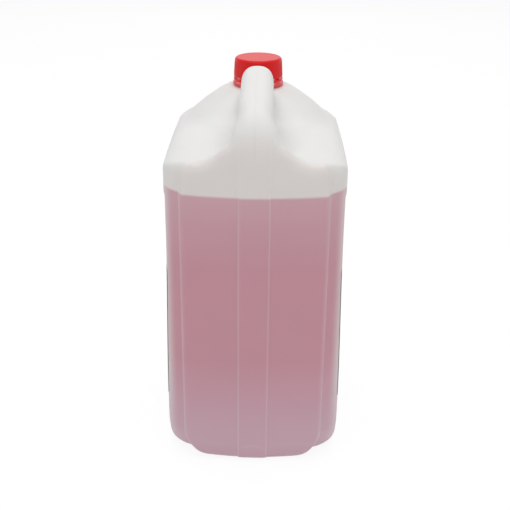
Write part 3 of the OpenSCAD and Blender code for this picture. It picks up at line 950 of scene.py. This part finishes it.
class CLEANERJUG_OT_closure(bpy.types.Operator):
    """Build the ribbed screw cap and the tamper ring, and give the foam disc its material"""

    bl_idname = "cleanerjug.closure"
    bl_label = "Closure"

    def execute(self, context):
        sizes = context.scene.jug_sizes
        red = closure_plastic(context.scene.jug_colours)
        cap = self.cap(sizes)
        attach(cap, "cap")
        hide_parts("cap")
        dress(cap, red)
        band = self.ring(sizes)
        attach(band, "body")
        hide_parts("tamper_ring")
        dress(band, red)
        dress_node("cap_wad", sealing_foam())
        return {"FINISHED"}

    def cap(self, sizes):
        """Screw cap with fine grip ribs outside and a thread inside."""
        low, high = bottom_of("cap"), top_of("cap")
        centre_y = middle("cap", 1)
        outer = (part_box("cap")[1][0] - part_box("cap")[0][0]) / 2 - 0.2 * MM
        inner = sizes.neck_radius + sizes.thread_depth + 0.3 * MM
        inside = top_of("cap_wad")
        edge, draft = 2.3 * MM, 0.7 * MM
        rib_out, thread_in = 0.18 * MM, 0.8 * MM
        steps = 6 * RIBS
        profile = [(r, high) for r in (0.0, 4 * MM, 9 * MM, 14 * MM, outer - draft - edge - 0.6 * MM)]
        for i in range(9):
            a = radians(90 - 90 * i / 8)
            profile.append((outer - draft - edge * (1 - cos(a)), high - edge * (1 - sin(a))))
        for i in range(7):
            z = lerp(high - edge - 0.8 * MM, low + 1.2 * MM, i / 6)
            profile.append((outer - draft * (z - low) / (high - edge - low), z))
        profile += [(outer - 0.02 * MM, low + 0.7 * MM), (outer, low + 0.25 * MM), (outer - 0.25 * MM, low)]
        profile += [(inner + 0.3 * MM, low), (inner, low + 0.3 * MM)]
        rows = 24
        profile += [(inner, lerp(low + 0.6 * MM, inside - 1.2 * MM, i / rows)) for i in range(rows + 1)]
        profile += [(inner, inside), (8 * MM, inside), (0.0, inside)]
        bm = bmesh.new()
        lathe(bm, profile, (0, centre_y), steps)
        bmesh.ops.remove_doubles(bm, verts=bm.verts[:], dist=0.005 * MM)
        for vert in bm.verts:
            dx, dy = vert.co.x, vert.co.y - centre_y
            radius = hypot(dx, dy)
            angle = atan2(dy, dx)
            z = vert.co.z
            grown = radius
            if radius > outer - draft - 0.02 * MM:
                held = ease((z - low - 0.7 * MM) / (0.6 * MM)) * ease((high - edge - 0.2 * MM - z) / (0.8 * MM))
                grown = radius + rib_out * held * (0.5 + 0.5 * cos(angle * RIBS))
            elif abs(radius - inner) < 0.02 * MM:
                ridge = thread_height(
                    angle, z + sizes.thread_pitch / 2, low + sizes.thread_pitch / 2 + 0.6 * MM,
                    inside + sizes.thread_pitch / 2 - 1.5 * MM, sizes.thread_pitch,
                )
                grown = radius - thread_in * ridge
            if radius > 0:
                vert.co.x, vert.co.y = dx * grown / radius, centre_y + dy * grown / radius
        return new_object("screw_cap", bm, angle=60)

    def ring(self, sizes):
        """Tamper ring with its catching lip and the stubs of its snapped bridges."""
        low = bottom_of("tamper_ring")
        centre_y = middle("tamper_ring", 1)
        outer = (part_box("tamper_ring")[1][0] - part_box("tamper_ring")[0][0]) / 2
        inner = outer - 2 * MM
        lip = sizes.neck_radius + 0.3 * MM
        high = bottom_of("cap") - 0.4 * MM
        body = outer - 0.5 * MM
        profile = [
            (inner, high), (body - 0.3 * MM, high), (body - 0.08 * MM, high - 0.1 * MM), (body, high - 0.35 * MM),
            (body, low + 3.2 * MM), (body + 0.08 * MM, low + 2.95 * MM), (outer - 0.06 * MM, low + 2.5 * MM),
            (outer, low + 2.2 * MM), (outer, low + 0.35 * MM), (outer - 0.1 * MM, low + 0.1 * MM),
            (outer - 0.35 * MM, low), (inner, low), (lip + 0.2 * MM, low + 1.1 * MM), (lip, low + 1.4 * MM),
            (lip, low + 1.9 * MM), (inner, low + 3 * MM),
        ]
        bm = bmesh.new()
        lathe(bm, profile, (0, centre_y), 160, closed=True)
        for i in range(BRIDGES):
            angle = radians(360 * i / BRIDGES + 15)
            out = body - 0.9 * MM
            place = Matrix.Translation((out * cos(angle), centre_y + out * sin(angle), high + 0.05 * MM))
            bmesh.ops.create_cone(
                bm, cap_ends=True, segments=12, radius1=0.4 * MM, radius2=0.3 * MM, depth=0.3 * MM, matrix=place,
            )
        return new_object("tamper_band", bm, angle=40)


class CLEANERJUG_OT_labels(bpy.types.Operator):
    """Build the two labels that follow the broad faces"""

    bl_idname = "cleanerjug.labels"
    bl_label = "Labels"

    def execute(self, context):
        form = JugForm(context.scene.jug_sizes)
        stock = label_stock(context.scene.jug_colours)
        for node, side in (("label_left", -1), ("label_right", 1)):
            label = self.label(form, node, side)
            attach(label, "body")
            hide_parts(node)
            dress(label, stock)
        return {"FINISHED"}

    def label(self, form, node, side):
        """Thin sheet with rounded corners, laid on one broad face."""
        low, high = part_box(node)
        half_l, half_h = (high[1] - low[1]) / 2, (high[2] - low[2]) / 2
        centre_z = (high[2] + low[2]) / 2
        radius, gap, thickness = 3 * MM, 0.05 * MM, 0.1 * MM
        bm = bmesh.new()
        bmesh.ops.create_grid(bm, x_segments=72, y_segments=56, size=1)
        for vert in bm.verts:
            u, v = vert.co.x, vert.co.y
            y, z = u * half_l, v * half_h
            over_y, over_z = abs(y) - half_l + radius, abs(z) - half_h + radius
            if over_y > 0 and over_z > 0:
                far = max(over_y, over_z) / hypot(over_y, over_z)
                y = copysign(half_l - radius + over_y * far, y)
                z = copysign(half_h - radius + over_z * far, z)
            z += centre_z
            vert.co = (side * (form.side_at(y, z) + gap), y, z)
        if side < 0:
            bmesh.ops.reverse_faces(bm, faces=bm.faces[:])
        bmesh.ops.solidify(bm, geom=bm.faces[:], thickness=-thickness)
        return new_object(node + "_sheet", bm, angle=40)


class CLEANERJUG_OT_liquid(bpy.types.Operator):
    """Build the liquid inside the jug, up to its level"""

    bl_idname = "cleanerjug.liquid"
    bl_label = "Liquid"

    def execute(self, context):
        form = JugForm(context.scene.jug_sizes)
        gap, last = 0.1 * MM, 218 * MM
        wall = form.s.wall + gap
        level = top_of("cleaner")
        dish = form.s.dish + wall
        foot = form.outline(wall, wall)
        rings = [[(x * scale, y * scale, z) for x, y in foot] for scale, z in ((0.7, dish), (0.78, dish), (0.86, wall))]
        heights = [wall] + [h * MM for h in (3, 5, 8, 12, 17, 23, 31, 45, 60, 85, 110, 135, 160, 185, 205, 218)]
        rings += [form.ring(z, wall) for z in heights]
        rings.append([(x, y, level) for x, y in form.outline(last, wall)])
        bm = bmesh.new()
        loft(bm, rings)
        fill = new_object("liquid_fill", bm, angle=40)
        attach(fill, "body")
        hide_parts("cleaner")
        dress(fill, cleaning_liquid(context.scene.jug_colours))
        return {"FINISHED"}


class CLEANERJUG_OT_stage(bpy.types.Operator):
    """Set up the pale floor, the soft lights and the camera"""

    bl_idname = "cleanerjug.stage"
    bl_label = "Stage"

    def execute(self, context):
        scene = context.scene
        scene.view_settings.view_transform = "Standard"
        self.floor()
        self.world(scene)
        for lamp in LAMPS:
            self.lamp(*lamp)
        self.camera(scene)
        return {"FINISHED"}

    def floor(self):
        """Matt pale floor that glows a little where it is seen, so that it stays white round the shadow."""
        glow_share = 0.8
        bm = bmesh.new()
        bmesh.ops.create_grid(bm, x_segments=1, y_segments=1, size=8)
        floor = new_object("floor", bm, smooth=False)
        material, tree, shader = new_material("Pale floor")
        shader.inputs["Base Color"].default_value = (0.85, 0.85, 0.85, 1)
        shader.inputs["Roughness"].default_value = 0.9
        glow = tree.nodes.new("ShaderNodeEmission")
        glow.inputs["Color"].default_value = (1, 1, 1, 1)
        glow.inputs["Strength"].default_value = 1.1
        out = next(n for n in tree.nodes if n.bl_idname == "ShaderNodeOutputMaterial")
        mix_shader(tree, seen_ray(tree) * glow_share, shader, glow, out)
        dress(floor, material)

    def world(self, scene):
        """Soft light from all round, and pure white where the background is seen."""
        world = bpy.data.worlds.new("Soft white room")
        scene.world = world
        world.use_nodes = True
        tree = world.node_tree
        tree.nodes.clear()
        soft = tree.nodes.new("ShaderNodeBackground")
        soft.inputs["Strength"].default_value = 0.5
        white = tree.nodes.new("ShaderNodeBackground")
        white.inputs["Strength"].default_value = 1.0
        mix_shader(tree, seen_ray(tree), soft, white, tree.nodes.new("ShaderNodeOutputWorld"))

    def lamp(self, name, place, target, size, power):
        """Round area lamp aimed at a point."""
        data = bpy.data.lights.new(name, "AREA")
        data.shape = "DISK"
        data.size = size
        data.energy = power
        lamp = bpy.data.objects.new(name, data)
        lamp.location = place
        aim = Vector(target) - Vector(place)
        lamp.rotation_euler = aim.to_track_quat("-Z", "Y").to_euler()
        bpy.context.scene.collection.objects.link(lamp)

    def camera(self, scene):
        """Camera at the photograph's place: in front of the handle end, a little above."""
        place = Vector((8.7, -664.1, 445.1)) * MM
        pitch, yaw, roll = radians(24.463), radians(-0.785), radians(0.581)
        ahead = Vector((sin(yaw) * cos(pitch), cos(yaw) * cos(pitch), -sin(pitch)))
        right = Vector((cos(yaw), -sin(yaw), 0))
        up = right.cross(ahead)
        right, up = right * cos(roll) + up * sin(roll), up * cos(roll) - right * sin(roll)
        data = bpy.data.cameras.new("photo_view")
        data.sensor_width = 36
        data.lens = 61.41
        camera = bpy.data.objects.new("photo_view", data)
        turn = Matrix((right, up, -ahead)).transposed().to_4x4()
        camera.matrix_world = Matrix.Translation(place) @ turn
        scene.collection.objects.link(camera)
        scene.camera = camera


class CLEANERJUG_PT_panel(bpy.types.Panel):
    """Lists the jug's operators"""

    bl_label = "Cleaner jug"
    bl_idname = "CLEANERJUG_PT_panel"
    bl_space_type = "VIEW_3D"
    bl_region_type = "UI"
    bl_category = "Cleaner jug"

    def draw(self, context):
        for operator in OPERATORS:
            self.layout.operator(operator.bl_idname)
        for group in (context.scene.jug_sizes, context.scene.jug_colours):
            column = self.layout.column()
            for name in group.__annotations__:
                column.prop(group, name)


OPERATORS = (
    CLEANERJUG_OT_skin, CLEANERJUG_OT_closure, CLEANERJUG_OT_labels, CLEANERJUG_OT_liquid, CLEANERJUG_OT_stage,
)
CLASSES = (JugSizes, JugColours) + OPERATORS + (CLEANERJUG_PT_panel,)


def register():
    for cls in CLASSES:
        bpy.utils.register_class(cls)
    bpy.types.Scene.jug_sizes = bpy.props.PointerProperty(type=JugSizes)
    bpy.types.Scene.jug_colours = bpy.props.PointerProperty(type=JugColours)


def unregister():
    del bpy.types.Scene.jug_colours
    del bpy.types.Scene.jug_sizes
    for cls in reversed(CLASSES):
        bpy.utils.unregister_class(cls)


def main():
    register()
    bpy.ops.cleanerjug.skin()
    bpy.ops.cleanerjug.closure()
    bpy.ops.cleanerjug.labels()
    bpy.ops.cleanerjug.liquid()
    bpy.ops.cleanerjug.stage()


if __name__ == "__main__":
    main()
